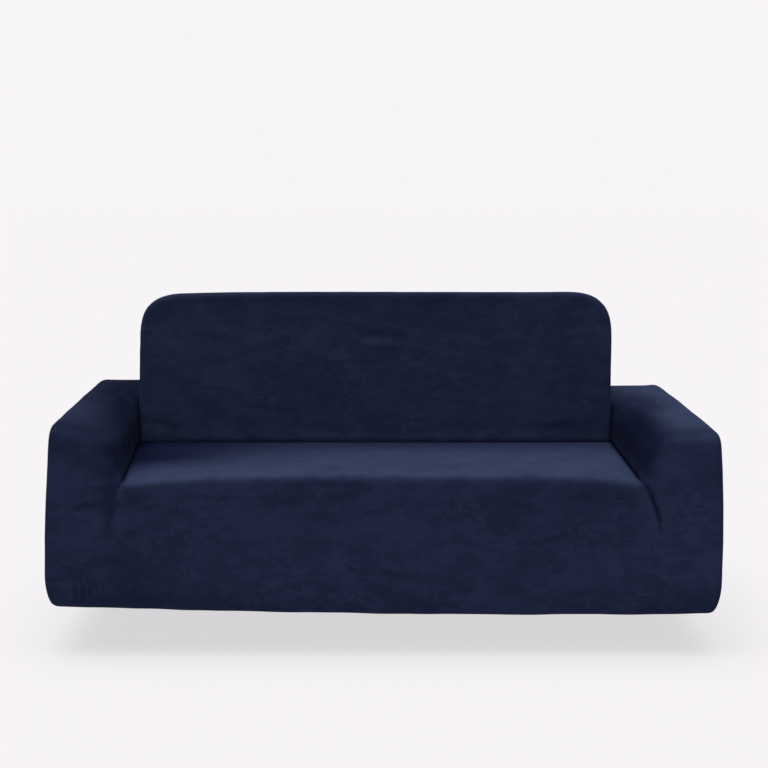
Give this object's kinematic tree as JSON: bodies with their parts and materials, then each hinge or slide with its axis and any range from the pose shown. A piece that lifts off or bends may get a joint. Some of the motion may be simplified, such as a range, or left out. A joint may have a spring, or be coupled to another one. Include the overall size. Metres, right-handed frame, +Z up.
{
  "type": "sofa slipcover",
  "caption": "Fitted stretch velvet cover for a small two-seat sofa: seat and front, inside back, outside back and arm panels sewn into one hollow form, open below.",
  "frame": {"origin": "on the wrong side of the cloth under the middle of the back's top, where the sofa's back holds the cover up", "axes": "+X towards the cover's right arm as seen from its front, +Y from the front to the rear, +Z up"},
  "size_m": [1.6972, 0.8347, 0.7638],
  "materials": {
    "velvet": "navy crushed velvet with a short soft pile"
  },
  "bodies": {
    "root": {"seat_front_panel": "velvet", "inside_back_panel": "velvet", "outside_back_panel": "velvet", "arm_panel_left": "velvet", "arm_panel_right": "velvet"}
  },
  "joints": []
}
